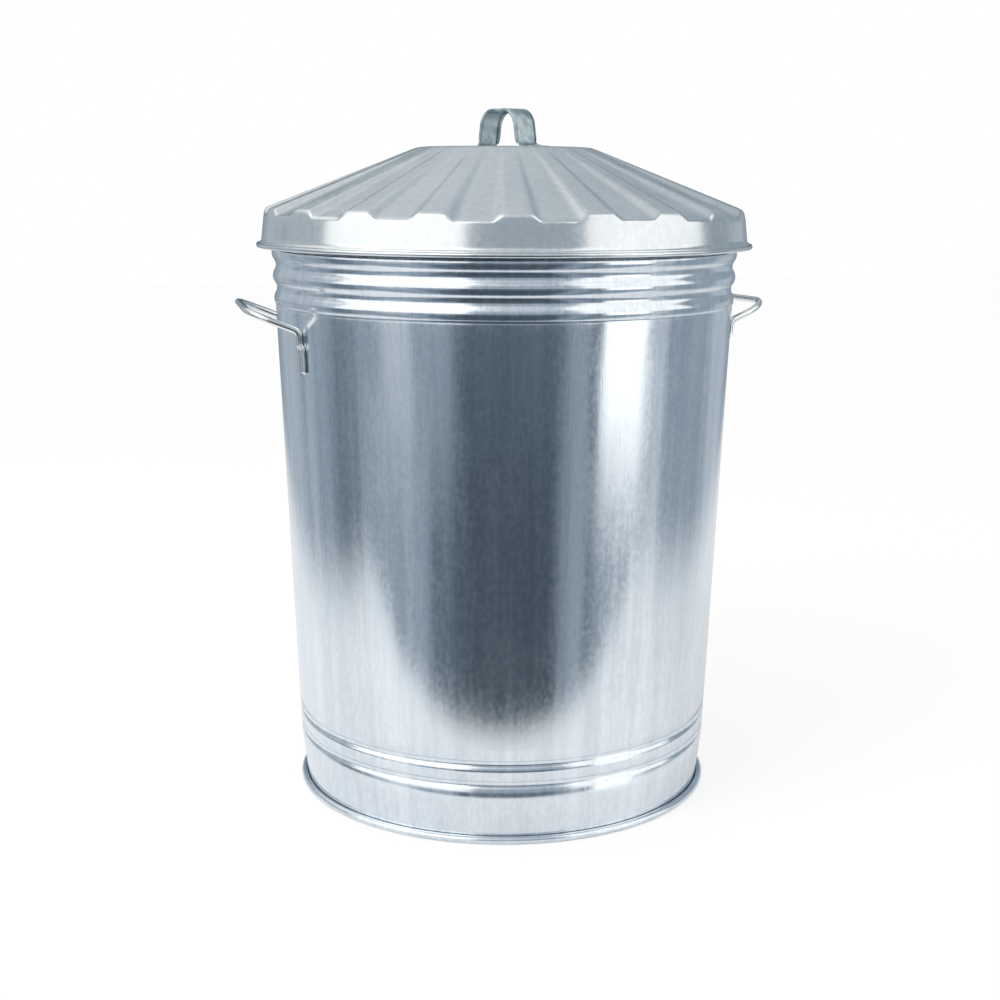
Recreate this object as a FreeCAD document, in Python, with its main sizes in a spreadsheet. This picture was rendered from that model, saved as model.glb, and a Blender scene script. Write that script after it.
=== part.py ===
import FreeCAD, Part
import Sketcher
import math
import os

Vector = FreeCAD.Vector
Z_AXIS = Vector(0, 0, 1)
HALF_TURN = 180
SIDE_ON = FreeCAD.Placement(Vector(), FreeCAD.Rotation(Vector(1, 0, 0), 90))

# A galvanised steel dustbin with a lift-off lid. The floor is z = 0, the bin's axis is Z, and the
# two side handles lie along X. Lengths are millimetres, angles degrees. Lid sizes marked "above the
# lid's edge" are measured from the lowest point of the lid's rolled edge.
SIZES = (
    ("body_height", 591.0, "floor to the top of the rolled top rim"),
    ("wall_top_radius", 235.2, "outside of the wall, carried on to the top of the body"),
    ("wall_foot_radius", 211.8, "outside of the wall, carried on to the floor"),
    ("wall_sheet", 0.8, "thickness of the body's sheet"),
    ("foot_band_radius", 208.4, "outside of the band where it meets the rolled foot rim"),
    ("foot_wire_radius", 2.8, "wire rolled into the foot rim"),
    ("foot_flat_width", 1.2, "flat that the foot rim stands on"),
    ("top_wire_radius", 2.3, "wire rolled into the top rim"),
    ("wire_clearance", 0.3, "between a wire and the sheet rolled round it"),
    ("bead_count", 3, "rounded ridges rolled round the wall below the top rim"),
    ("bead_drop", 39.5, "top of the body down to the crest of the highest ridge"),
    ("bead_pitch", 22.5, "crest to crest"),
    ("bead_depth", 3.5, "crest to valley of the ridges"),
    ("bead_inset", 0.5, "how far the middle of the ridges lies inside the wall line"),
    ("bead_toe", 4.0, "height over which the wall draws in below the lowest ridge"),
    ("lower_groove_height", 60.3, "floor to the middle of the lower swaged groove"),
    ("groove_pitch", 20.7, "lower groove to upper groove"),
    ("groove_depth", 2.2, "how far a groove is pressed in"),
    ("groove_half_height", 5.0, "half the height of a groove's mouth"),
    ("seam_width", 9.0, "flat lock seam down the back"),
    ("seam_thickness", 1.2, "how far the seam stands proud of the wall"),
    ("seam_margin", 6.0, "plain wall left between the seam and the ridges or grooves"),
    ("pan_sheet", 1.0, "thickness of the bottom pan"),
    ("pan_flange_height", 8.0, "height of the pan's turned-up edge"),
    ("pan_bend_radius", 2.0, "outside of the bend between the pan and its edge"),
    ("pan_dish_radius", 165.0, "radius of the raised middle of the pan"),
    ("pan_dish_height", 4.0, "rise of the raised middle of the pan"),
    ("pan_dish_run", 9.0, "width of the slope up to the raised middle"),
    ("seat_clearance", 0.3, "between pieces that rest on each other"),
    ("weld_clearance", 0.1, "between a welded foot and the wall"),
    ("handle_rod_radius", 3.3, "side handle rod"),
    ("handle_spread", 165.0, "distance between a side handle's two legs"),
    ("handle_drop", 24.5, "crest of the lowest ridge down to where an arm turns down the wall"),
    ("handle_reach", 35.0, "wall to the middle of the grip bar"),
    ("handle_rise", 18.5, "how far the grip bar stands above the arms' bends"),
    ("handle_corner_radius", 30.0, "middle of the rod where an arm meets the grip bar"),
    ("handle_turn_angle", 4.8, "how far each side handle is turned from the X axis towards the back"),
    ("handle_bend_radius", 8.0, "middle of the rod where an arm turns down"),
    ("paddle_width", 11.0, "flattened end of a leg"),
    ("paddle_thickness", 3.0, "flattened end of a leg"),
    ("paddle_length", 21.5, "flat stretch of a leg's end"),
    ("paddle_taper", 8.0, "stretch over which the rod is flattened"),
    ("paddle_corner_radius", 3.0, "rounded lower corners of a leg's end"),
    ("lid_height", 98.6, "top disc above the lid's edge"),
    ("lid_clearance", 7.37, "between the body's rolled rim and the lid's rolled edge"),
    ("lid_sheet", 0.8, "thickness of the lid's sheet"),
    ("lid_wire_radius", 1.3, "wire rolled into the lid's edge"),
    ("lid_disc_radius", 87.0, "flat disc in the middle of the lid"),
    ("skirt_inset", 4.5, "outermost point of the lid's edge to the skirt, carried on to the edge"),
    ("skirt_lean", 4.2, "how far the skirt draws in from the lid's edge up to the flute crests"),
    ("crest_height", 38.1, "flute crests at the skirt, above the lid's edge"),
    ("flute_depth", 5.9, "crest to valley of the flutes at the skirt"),
    ("flute_count", 20, "flutes pressed in the lid's cone"),
    ("skirt_join", 6.5, "where the rolled edge meets the skirt, above the lid's edge"),
    ("lid_turn_angle", -69.3, "how far the lid is turned from the line of the side handles"),
    ("strap_height", 36.5, "inside height of the strap's arch above the disc"),
    ("strap_foot_span", 62.0, "inside width of the strap's arch at the disc"),
    ("strap_top_span", 50.0, "inside width of the strap's arch, carried on to the top"),
    ("strap_width", 27.0, "width of the strap over its rolled edges"),
    ("strap_offset", 3.2, "how far to one side of the lid's middle the strap is riveted"),
    ("strap_sheet", 1.2, "thickness of the strap"),
    ("strap_roll_radius", 2.2, "edge of the strap, rolled under along its arch"),
    ("strap_corner_radius", 18.0, "inside of the arch's upper corners"),
    ("strap_bend_radius", 8.0, "where a leg turns out into its foot"),
    ("strap_foot_length", 16.0, "flat foot beyond a leg's bend"),
    ("rivet_radius", 2.4, "shank of a lid handle rivet"),
    ("rivet_head_radius", 5.0, "head of a lid handle rivet"),
    ("rivet_head_height", 1.4, "low domed head of a lid handle rivet"),
    ("rivet_tail_height", 1.6, "hammered end of a rivet, under the lid"),
    ("rivet_clearance", 0.1, "between a rivet's shank and its hole"),
)


class Size:
    """A size with both its number and the formula that ties it to the sheet."""

    def __init__(self, number, formula=None):
        self.number = number
        self.formula = formula or repr(number)

    def join(self, sign, other, number):
        return Size(number, f"({self.formula} {sign} {other.formula})")

    def __add__(self, other):
        other = as_size(other)
        return self.join("+", other, self.number + other.number)

    def __sub__(self, other):
        other = as_size(other)
        return self.join("-", other, self.number - other.number)

    def __mul__(self, other):
        other = as_size(other)
        return self.join("*", other, self.number * other.number)

    def __truediv__(self, other):
        other = as_size(other)
        return self.join("/", other, self.number / other.number)

    def __rsub__(self, other):
        return as_size(other) - self

    def __neg__(self):
        return as_size(0.0) - self

    __radd__ = __add__
    __rmul__ = __mul__


def as_size(value):
    return value if isinstance(value, Size) else Size(float(value))


def square_root(size):
    return Size(math.sqrt(size.number), f"sqrt({size.formula})")


doc = FreeCAD.newDocument("dustbin")
sheet = doc.addObject("Spreadsheet::Sheet", "Sizes")
for row, (word, number, note) in enumerate(SIZES, start=1):
    sheet.set(f"A{row}", word)
    sheet.set(f"B{row}", str(number))
    sheet.set(f"C{row}", note)
    sheet.setAlias(f"B{row}", word)
doc.recompute()


def size(word):
    return Size(float(sheet.get(word)), f"Sizes.{word}")


# ---- Helpers shared by the pieces -------------------------------------------------------------


def bind(feature, **sizes):
    """Tie a feature's properties to formulas; a double underscore stands for a dot."""
    for name, value in sizes.items():
        feature.setExpression(name.replace("__", "."), as_size(value).formula)
    return feature


def place(feature, x=0.0, y=0.0, z=0.0, turn=None):
    """Move a feature, and turn it about Z, by formulas."""
    bind(feature, Placement__Base__x=x, Placement__Base__y=y, Placement__Base__z=z)
    if turn is not None:
        feature.Placement = FreeCAD.Placement(feature.Placement.Base, FreeCAD.Rotation(Z_AXIS, 90))
        bind(feature, Placement__Rotation__Angle=turn)
    return feature


def fix_point(sketch, geometry, position, point):
    """Hold one point of a sketch at a place given by two formulas."""
    for kind, value in zip(("DistanceX", "DistanceY"), point):
        value = as_size(value)
        index = sketch.addConstraint(Sketcher.Constraint(kind, geometry, position, value.number))
        sketch.setExpression(f"Constraints[{index}]", value.formula)


def join(sketch, one, one_end, other, other_end):
    """Make two pieces of an outline meet; each is its number and the names of its two ends."""
    ends = (one[0], one[one_end], other[0], other[other_end])
    sketch.addConstraint(Sketcher.Constraint("Coincident", *ends))


def flat(point):
    return Vector(as_size(point[0]).number, as_size(point[1]).number, 0)


def trace(sketch, start, *steps):
    """Draw lines and arcs from point to point. A step of one point is a line to it; a step of two
    is an arc through the first to the second. Coming back to the start closes the outline."""
    here = start
    ends = []
    for step in steps:
        target = step[-1]
        if len(step) == 1:
            geometry = sketch.addGeometry(Part.LineSegment(flat(here), flat(target)))
            first, last = 1, 2
        else:
            a, b, c = flat(here), flat(step[0]), flat(target)
            geometry = sketch.addGeometry(Part.Arc(a, b, c))
            turns_left = (b - a).cross(c - b).z > 0
            first, last = (1, 2) if turns_left else (2, 1)
            middle = sketch.addGeometry(Part.Point(b), True)
            fix_point(sketch, middle, 1, step[0])
            sketch.addConstraint(Sketcher.Constraint("PointOnObject", middle, 1, geometry))
        if ends:
            join(sketch, ends[-1], 2, (geometry, first, last), 1)
        if target is start:
            join(sketch, (geometry, first, last), 2, ends[0], 1)
        else:
            fix_point(sketch, geometry, last, target)
        if not ends:
            fix_point(sketch, geometry, first, start)
        ends.append((geometry, first, last))
        here = target


def side_sketch(name, start, *steps):
    """An outline in the plane of the bin's axis: first number the radius, second the height."""
    sketch = doc.addObject("Sketcher::SketchObject", name)
    sketch.Placement = SIDE_ON
    trace(sketch, start, *steps)
    return sketch


def thickened(name, line, thickness):
    """A strip of sheet in the plane of the line, on the left of its direction."""
    strip = doc.addObject("Part::Offset2D", name)
    strip.Source = line
    strip.Mode = "Skin"
    strip.Join = "Arc"
    strip.Fill = True
    bind(strip, Value=thickness)
    return strip


def rolled_sheet(name, thickness, start, *steps):
    """A sheet turned round Z: one face of it is drawn, and thickened to the right of the line."""
    line = side_sketch(f"{name}_line", start, *steps)
    return turned(name, thickened(f"{name}_strip", line, -thickness))


def turned(name, outline):
    """A solid of revolution about Z."""
    solid = doc.addObject("Part::Revolution", name)
    solid.Source = outline
    solid.Axis = Z_AXIS
    solid.Angle = 360
    solid.Solid = True
    return solid


def combined(kind, name, *shapes):
    """A boolean of the first shape with the others."""
    result = doc.addObject(f"Part::{kind}", name)
    if kind in ("Cut", "Common"):
        result.Base, result.Tool = shapes
    else:
        result.Shapes = list(shapes)
    return result


def ring_wire(name, ring_radius, wire_radius, height):
    """The wire inside a rolled edge."""
    wire = doc.addObject("Part::Torus", name)
    bind(wire, Radius1=ring_radius, Radius2=wire_radius)
    place(wire, z=height)
    return wire


# ---- Body wall: one tapered sheet with rolled rims, three ridges and two grooves ---------------

wall_sheet = size("wall_sheet")
body_height = size("body_height")
bead_pitch = size("bead_pitch")
bead_swing = size("bead_depth") / 2
bead_count = int(size("bead_count").number)
groove_reach = size("groove_half_height")
lower_groove = size("lower_groove_height")
upper_groove = lower_groove + size("groove_pitch")
top_bead = body_height - size("bead_drop")
lowest_bead = top_bead - bead_pitch * (bead_count - 1)
wall_taper = (size("wall_top_radius") - size("wall_foot_radius")) / body_height


def wall_at(height):
    """Outside of the plain wall at a height."""
    return size("wall_foot_radius") + wall_taper * height


def inside(height, pressed_in=0.0):
    """A point on the inner face of the wall."""
    return (wall_at(height) - wall_sheet - pressed_in, height)


def foot_curl():
    """Middle radius, roll radius and middle height of the rolled foot rim."""
    roll = size("foot_wire_radius") + size("wire_clearance") + wall_sheet
    half_flat = size("foot_flat_width") / 2
    rise = square_root(roll * roll - half_flat * half_flat)
    return size("foot_band_radius") - wall_sheet + roll, roll, rise


def top_curl():
    """Middle radius and roll radius of the rolled top rim."""
    roll = size("top_wire_radius") + size("wire_clearance") + wall_sheet
    neck = wall_at(top_bead + bead_pitch / 2) - size("bead_inset") - bead_swing
    return neck - wall_sheet + roll, roll


CURL_END = math.sqrt(3) / 2  # a curl stops 60 degrees short of the wall that it comes back to


def body_outline():
    """The inner face of the wall, from the end of the foot curl to the end of the top curl."""
    inset = size("bead_inset")
    quarter = bead_pitch / 4
    foot_middle, foot_roll, foot_rise = foot_curl()
    half_flat = size("foot_flat_width") / 2
    quarter_turn = foot_roll * math.sqrt(0.5)
    top_middle, top_roll = top_curl()
    top_height = body_height - top_roll
    start = (foot_middle - foot_roll / 2, foot_rise + foot_roll * CURL_END)
    steps = [((foot_middle + foot_roll, foot_rise), (foot_middle + half_flat, 0.0))]
    steps.append(((foot_middle - half_flat, 0.0),))
    into_band = (foot_middle - quarter_turn, foot_rise - quarter_turn)
    steps.append((into_band, (foot_middle - foot_roll, foot_rise)))
    for groove in (lower_groove, upper_groove):
        steps.append((inside(groove - groove_reach),))
        steps.append((inside(groove, size("groove_depth")), inside(groove + groove_reach)))
    steps.append((inside(lowest_bead - quarter - size("bead_toe")),))
    steps.append((inside(lowest_bead - quarter, inset),))
    for number in range(bead_count):
        crest = lowest_bead + bead_pitch * number
        steps.append((inside(crest, inset - bead_swing), inside(crest + quarter, inset)))
        if number < bead_count - 1:
            valley = crest + bead_pitch / 2
            steps.append((inside(valley, inset + bead_swing), inside(valley + quarter, inset)))
    neck_height = top_bead + bead_pitch / 2
    neck = top_middle - top_roll
    way_in = inside(neck_height - quarter / 2, inset + bead_swing * 0.75)
    steps.append((way_in, (neck, neck_height)))
    steps.append(((neck, top_height),))
    curl_end = (top_middle - top_roll / 2, top_height - top_roll * CURL_END)
    steps.append(((top_middle + top_roll, top_height), curl_end))
    return start, steps


def make_body_wall():
    start, steps = body_outline()
    shell = rolled_sheet("wall_shell", wall_sheet, start, *steps)
    low = upper_groove + groove_reach + size("seam_margin")
    high = lowest_bead - bead_pitch / 4 - size("bead_toe") - size("seam_margin")
    corner = inside(low)
    outline = side_sketch(
        "seam_outline",
        corner,
        ((wall_at(low) + size("seam_thickness"), low),),
        ((wall_at(high) + size("seam_thickness"), high),),
        (inside(high),),
        (corner,),
    )
    seam = turned("lock_seam", outline)
    seam.Symmetric = True
    bind(seam, Angle=size("seam_width") / wall_at(low) * (180 / math.pi))
    place(seam, turn=90.0)
    combined("MultiFuse", "body_wall", shell, seam)


# ---- Bottom pan and the two wires of the body --------------------------------------------------


def make_base_pan():
    """A pressed disc held between the two grooves, its edge turned up against the wall."""
    low = lower_groove + groove_reach + size("seat_clearance")
    thick = size("pan_sheet")
    bend = size("pan_bend_radius")
    edge = wall_at(low) - wall_sheet - size("seat_clearance")
    top = low + size("pan_flange_height")
    dish = size("pan_dish_radius")
    rise = size("pan_dish_height")
    slope_foot = dish + size("pan_dish_run")
    diagonal = bend * (1 - math.sqrt(0.5))
    inner_bend = bend - thick
    inner_diagonal = inner_bend * (1 - math.sqrt(0.5))
    body = doc.addObject("PartDesign::Body", "base_pan")
    outline = body.newObject("Sketcher::SketchObject", "pan_outline")
    plane = [face for face in body.Origin.OriginFeatures if face.Role == "XZ_Plane"][0]
    outline.AttachmentSupport = (plane, "")
    outline.MapMode = "FlatFace"
    start = (0.0, low + rise)
    trace(
        outline,
        start,
        ((dish, low + rise),),
        ((slope_foot, low),),
        ((edge - bend, low),),
        ((edge - diagonal, low + diagonal), (edge, low + bend)),
        ((edge, top),),
        ((edge - thick, top),),
        ((edge - thick, low + bend),),
        ((edge - thick - inner_diagonal, low + thick + inner_diagonal), (edge - bend, low + thick)),
        ((slope_foot, low + thick),),
        ((dish, low + rise + thick),),
        ((0.0, low + rise + thick),),
        (start,),
    )
    pan = body.newObject("PartDesign::Revolution", "pan_turned")
    pan.Profile = outline
    pan.ReferenceAxis = (outline, ["V_Axis"])
    pan.Angle = 360
    body.Tip = pan
    return body


def make_body_wires():
    foot_middle, foot_roll, foot_rise = foot_curl()
    top_middle, top_roll = top_curl()
    ring_wire("foot_rim_wire", foot_middle, size("foot_wire_radius"), foot_rise)
    ring_wire("top_rim_wire", top_middle, size("top_wire_radius"), body_height - top_roll)


# ---- Side handles: a bent rod with flattened ends welded to the wall ---------------------------


def bent_line(points, radii):
    """Straight runs through the points, joined at each inner point by a tangent arc."""
    edges = []
    here = points[0]
    for before, corner, after, radius in zip(points, points[1:], points[2:], radii):
        back = (before - corner).normalize()
        onward = (after - corner).normalize()
        half_angle = back.getAngle(onward) / 2
        setback = radius / math.tan(half_angle)
        centre = corner + (back + onward).normalize() * (radius / math.sin(half_angle))
        middle = centre + (corner - centre).normalize() * radius
        arc_start = corner + back * setback
        arc_end = corner + onward * setback
        edges.append(Part.LineSegment(here, arc_start).toShape())
        edges.append(Part.Arc(arc_start, middle, arc_end).toShape())
        here = arc_end
    edges.append(Part.LineSegment(here, points[-1]).toShape())
    return Part.Wire(edges)


def on_wall(height, side, stand_off):
    """A point at a leg of the handle on +X: side is -1 or 1, stand_off its distance off the wall."""
    radius = wall_at(as_size(height)).number + stand_off
    offset = size("handle_spread").number / 2
    return Vector(math.sqrt(radius**2 - offset**2), side * offset, height)


def paddle_section(side, height, width, depth):
    """A level rectangle against the wall, square to it at a leg."""
    middle = on_wall(height, side, size("weld_clearance").number + depth / 2)
    outward = Vector(middle.x, middle.y, 0).normalize()
    along = Z_AXIS.cross(outward)
    x, y = depth / 2, width / 2
    corners = [middle + outward * a + along * b for a, b in ((-x, -y), (x, -y), (x, y), (-x, y))]
    return Part.makePolygon(corners + corners[:1])


def leg_end(name, side, rod_end_height):
    """The hammered end of a leg: a round rod that runs out into a flat paddle."""
    rod = size("handle_rod_radius").number
    gap = size("weld_clearance").number
    width = size("paddle_width").number
    depth = size("paddle_thickness").number
    flat_top = rod_end_height - size("paddle_taper").number
    flat_low = flat_top - size("paddle_length").number
    rod_middle = on_wall(rod_end_height, side, gap + rod)
    round_end = Part.Wire(Part.makeCircle(rod, rod_middle, Z_AXIS).Edges)
    flat_start = paddle_section(side, flat_top, width, depth)
    flat_end = paddle_section(side, flat_low, width, depth)
    taper = Part.makeLoft([round_end, flat_start], True, True)
    paddle = Part.makeLoft([flat_start, flat_end], True, True)
    low_edges = []
    for edge in paddle.Edges:
        level = abs(edge.Vertexes[0].Z - edge.Vertexes[-1].Z) < depth / 2
        short = edge.Length < (width + depth) / 2
        if level and short and edge.CenterOfMass.z < flat_low + depth / 2:
            low_edges.append(edge)
    paddle = paddle.makeFillet(size("paddle_corner_radius").number, low_edges)
    end = doc.addObject("Part::Feature", name)
    end.Shape = taper.fuse(paddle).removeSplitter()
    return end


def make_side_handle(name, turn):
    rod = size("handle_rod_radius").number
    gap = size("weld_clearance").number
    bend = lowest_bead - size("handle_drop")
    bend_height = bend.number
    rod_end_height = bend_height - size("handle_bend_radius").number - rod
    reach = wall_at(bend).number + size("handle_reach").number
    bar_height = bend_height + size("handle_rise").number
    near = [on_wall(rod_end_height, -1, gap + rod), on_wall(bend_height, -1, gap + rod)]
    far = [on_wall(bend_height, 1, gap + rod), on_wall(rod_end_height, 1, gap + rod)]
    grip = [Vector(reach, near[1].y, bar_height), Vector(reach, far[0].y, bar_height)]
    bend = size("handle_bend_radius").number
    corner = size("handle_corner_radius").number
    line = doc.addObject("Part::Feature", f"{name}_line")
    line.Shape = bent_line(near + grip + far, (bend, corner, corner, bend))
    section = doc.addObject("Part::Circle", f"{name}_section")
    bind(section, Radius=size("handle_rod_radius"))
    down_the_wall = (near[0] - near[1]).normalize()
    section.Placement = FreeCAD.Placement(near[0], FreeCAD.Rotation(Z_AXIS, down_the_wall))
    rod_sweep = doc.addObject("Part::Sweep", f"{name}_rod")
    rod_sweep.Sections = [section]
    rod_sweep.Spine = (line, [f"Edge{number + 1}" for number in range(len(line.Shape.Edges))])
    rod_sweep.Solid = True
    rod_sweep.Frenet = False
    near_end = leg_end(f"{name}_near_end", -1, rod_end_height)
    far_end = leg_end(f"{name}_far_end", 1, rod_end_height)
    handle = combined("MultiFuse", name, rod_sweep, near_end, far_end)
    place(handle, turn=turn)
    return handle


# ---- Lid: a fluted cone with a flat disc, a skirt and a rolled edge ----------------------------

lid_sheet = size("lid_sheet")
lid_height = size("lid_height")
disc_radius = size("lid_disc_radius")
crest_height = size("crest_height")
flute_count = int(size("flute_count").number)
skirt_join = size("skirt_join")


def lid_curl():
    """Middle radius and roll radius of the lid's rolled edge, which goes round the body's rim."""
    rim_middle, rim_roll = top_curl()
    roll = size("lid_wire_radius") + size("wire_clearance") + lid_sheet
    return rim_middle + rim_roll + size("lid_clearance") + roll, roll


def skirt_at(height):
    """Outside of the skirt at a height above the lid's edge."""
    middle, roll = lid_curl()
    return middle + roll - size("skirt_inset") - size("skirt_lean") / crest_height * height


flute_run = skirt_at(crest_height) - disc_radius
crest_slope = (lid_height - crest_height) / flute_run
valley_slope = crest_slope + size("flute_depth") / flute_run


def lid_seat():
    """Height of the lid's edge when its flute valleys rest on the body's rolled rim."""
    middle, roll = top_curl()
    reach = (roll + size("seat_clearance")) * square_root(1 + valley_slope * valley_slope)
    valley = lid_height - lid_sheet - valley_slope * (middle - disc_radius)
    return body_height - roll + reach - valley


def seated(feature):
    """Put a lid piece, modelled about the lid's own edge, in its place on the body."""
    return place(feature, z=lid_seat(), turn=size("lid_turn_angle"))


def around(radius, degrees, height):
    angle = math.radians(degrees)
    return Vector(radius * math.cos(angle), radius * math.sin(angle), height)


def flute_section(name, height, crest_radius, valley_radius):
    """A closed level ring of arcs, one for each crest and one for each valley."""
    middle_radius = (crest_radius + valley_radius) / 2
    half = 90.0 / flute_count
    edges = []
    for number in range(2 * flute_count):
        radius = valley_radius if number % 2 else crest_radius
        middle = 2 * half * number
        start = around(middle_radius, middle - half, height)
        end = around(middle_radius, middle + half, height)
        edges.append(Part.Arc(start, around(radius, middle, height), end).toShape())
    section = doc.addObject("Part::Feature", name)
    section.Shape = Part.Wire(edges)
    return section


def fluted_cap(name, sections, drop, shrink):
    """The solid under one face of the lid: the fluted cone, cut off by the skirt."""
    cone = doc.addObject("Part::Loft", f"{name}_cone")
    cone.Sections = sections
    cone.Solid = True
    cone.Ruled = True
    place(cone, z=-drop)
    skirt = doc.addObject("Part::Cone", f"{name}_skirt")
    bind(skirt, Radius1=skirt_at(skirt_join) - shrink, Radius2=skirt_at(lid_height) - shrink)
    bind(skirt, Height=lid_height - skirt_join)
    place(skirt, z=skirt_join)
    return combined("Common", name, cone, skirt)


def make_lid_shell():
    crest_foot = disc_radius + lid_height / crest_slope
    valley_foot = disc_radius + lid_height / valley_slope
    sections = [
        flute_section("flute_foot", 0.0, crest_foot.number, valley_foot.number),
        flute_section("flute_head", lid_height.number, disc_radius.number, disc_radius.number),
    ]
    outer = fluted_cap("lid_outside", sections, 0.0, 0.0)
    inner = fluted_cap("lid_inside", sections, lid_sheet, lid_sheet)
    cap = combined("Cut", "lid_cap", outer, inner)
    middle, roll = lid_curl()
    into_roll = (middle - roll / 2, roll + roll * CURL_END)
    overlap = skirt_join + roll
    edge = rolled_sheet(
        "lid_edge",
        lid_sheet,
        (middle + roll / 2, roll + roll * CURL_END),
        ((middle, 0.0), into_roll),
        ((skirt_at(skirt_join) - lid_sheet, skirt_join),),
        ((skirt_at(overlap) - lid_sheet, overlap),),
    )
    whole = combined("MultiFuse", "lid_pressing", cap, edge)
    shell = combined("Cut", "lid_shell", whole, rivet_holes("lid_holes"))
    seated(shell)
    ring_wire("lid_rim_wire", middle, size("lid_wire_radius"), lid_seat() + roll)


# ---- Lid handle: a strap with rolled edges, bent to an arch and riveted to the disc ------------

strap_sheet = size("strap_sheet")
strap_roll = size("strap_roll_radius")
strap_offset = size("strap_offset")
foot_reach = size("strap_foot_span") / 2
foot_length = size("strap_foot_length")
bend_radius = size("strap_bend_radius")
rivet_reach = foot_reach + bend_radius + foot_length / 2


def rivet_holes(name):
    """Two upright drills through the strap's feet and the disc."""
    drills = []
    for side in (-1, 1):
        drill = doc.addObject("Part::Cylinder", f"{name}_{'left' if side < 0 else 'right'}")
        bind(drill, Radius=size("rivet_radius") + size("rivet_clearance"))
        bind(drill, Height=(lid_sheet + strap_sheet) * 2)
        place(drill, x=rivet_reach * side, y=strap_offset, z=lid_height - lid_sheet * 2)
        drills.append(drill)
    return combined("MultiFuse", name, *drills)


def tangent_arc(corner, before, after, radius):
    """Start, middle and end of the arc of a radius that rounds a corner of the strap's line."""
    legs = []
    for point in (before, after):
        run = (point[0] - corner[0], point[1] - corner[1])
        length = square_root(run[0] * run[0] + run[1] * run[1])
        legs.append((run[0] / length, run[1] / length))
    back, onward = legs
    cosine = back[0] * onward[0] + back[1] * onward[1]
    setback = radius * square_root((1 + cosine) / (1 - cosine))
    half_sine = square_root((1 - cosine) / 2)
    halfway = (back[0] + onward[0], back[1] + onward[1])
    spread = square_root(halfway[0] * halfway[0] + halfway[1] * halfway[1])
    reach = radius / half_sine - radius
    start = (corner[0] + back[0] * setback, corner[1] + back[1] * setback)
    middle = (corner[0] + halfway[0] / spread * reach, corner[1] + halfway[1] / spread * reach)
    end = (corner[0] + onward[0] * setback, corner[1] + onward[1] * setback)
    return start, middle, end


def strap_steps():
    """The strap's underside: foot, leg, arch, leg, foot, with every corner rounded."""
    toe = foot_reach + bend_radius + foot_length
    top = lid_height + size("strap_height")
    points = [
        (-toe, lid_height),
        (-foot_reach, lid_height),
        (-size("strap_top_span") / 2, top),
        (size("strap_top_span") / 2, top),
        (foot_reach, lid_height),
        (toe, lid_height),
    ]
    corner_radius = size("strap_corner_radius")
    radii = (bend_radius, corner_radius, corner_radius, bend_radius)
    steps = []
    for before, corner, after, radius in zip(points, points[1:], points[2:], radii):
        start, middle, end = tangent_arc(corner, before, after, radius)
        steps.append((start,))
        steps.append((middle, end))
    steps.append((points[-1],))
    return points[0], steps


def make_strap_handle():
    """A band whose edges are rolled under along the arch, and whose feet lie flat on the disc."""
    start, steps = strap_steps()
    line = side_sketch("strap_line", start, *steps)
    strip = thickened("strap_strip", line, strap_sheet)
    flat_width = size("strap_width") - strap_roll * 2
    band = doc.addObject("Part::Extrusion", "strap_band")
    band.Base = strip
    band.Dir = Vector(0, 1, 0)
    band.Symmetric = True
    band.Solid = True
    bind(band, LengthFwd=flat_width)
    place(band, y=strap_offset)
    doc.recompute()
    edges = line.Shape.Edges
    arch = [f"Edge{number + 1}" for number in range(2, len(edges) - 2)]
    leg = edges[2]
    shapes = [band]
    for side, word in ((-1, "near"), (1, "far")):
        section = doc.addObject("Part::Circle", f"strap_{word}_section")
        up_the_leg = FreeCAD.Rotation(Z_AXIS, leg.tangentAt(leg.FirstParameter))
        section.Placement = FreeCAD.Placement(leg.valueAt(leg.FirstParameter), up_the_leg)
        bind(section, Radius=strap_roll)
        rolled = doc.addObject("Part::Sweep", f"strap_{word}_roll")
        rolled.Sections = [section]
        rolled.Spine = (line, arch)
        rolled.Solid = True
        place(rolled, y=strap_offset + flat_width / 2 * side)
        shapes.append(rolled)
    whole = combined("MultiFuse", "strap_whole", *shapes)
    strap = combined("Cut", "lid_strap_handle", whole, rivet_holes("strap_holes"))
    seated(strap)


def cap_middle(radius, height):
    """A point halfway out on a shallow dome, and its height above the dome's foot."""
    ball = (radius * radius + height * height) / (height * 2)
    out = radius / 2
    return out, square_root(ball * ball - out * out) - ball + height


def make_rivets():
    """Round-headed rivets, hammered over under the disc."""
    shank = size("rivet_radius")
    head = size("rivet_head_radius")
    head_height = size("rivet_head_height")
    tail = head * 0.8
    tail_height = size("rivet_tail_height")
    top = lid_height + strap_sheet
    low = lid_height - lid_sheet
    head_out, head_up = cap_middle(head, head_height)
    tail_out, tail_down = cap_middle(tail, tail_height)
    rivets = []
    for side in (-1, 1):
        word = "left" if side < 0 else "right"
        start = (0.0, low - tail_height)
        outline = side_sketch(
            f"rivet_{word}_outline",
            start,
            ((tail_out, low - tail_down), (tail, low)),
            ((shank, low),),
            ((shank, top),),
            ((head, top),),
            ((head_out, top + head_up), (0.0, top + head_height)),
            (start,),
        )
        rivet = turned(f"rivet_{word}", outline)
        place(rivet, x=rivet_reach * side, y=strap_offset)
        rivets.append(rivet)
    pair = doc.addObject("Part::Compound", "lid_handle_rivets")
    pair.Links = rivets
    seated(pair)


NODES = (
    "body_wall",
    "base_pan",
    "top_rim_wire",
    "foot_rim_wire",
    "left_side_handle",
    "right_side_handle",
    "lid_shell",
    "lid_rim_wire",
    "lid_strap_handle",
    "lid_handle_rivets",
)


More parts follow.
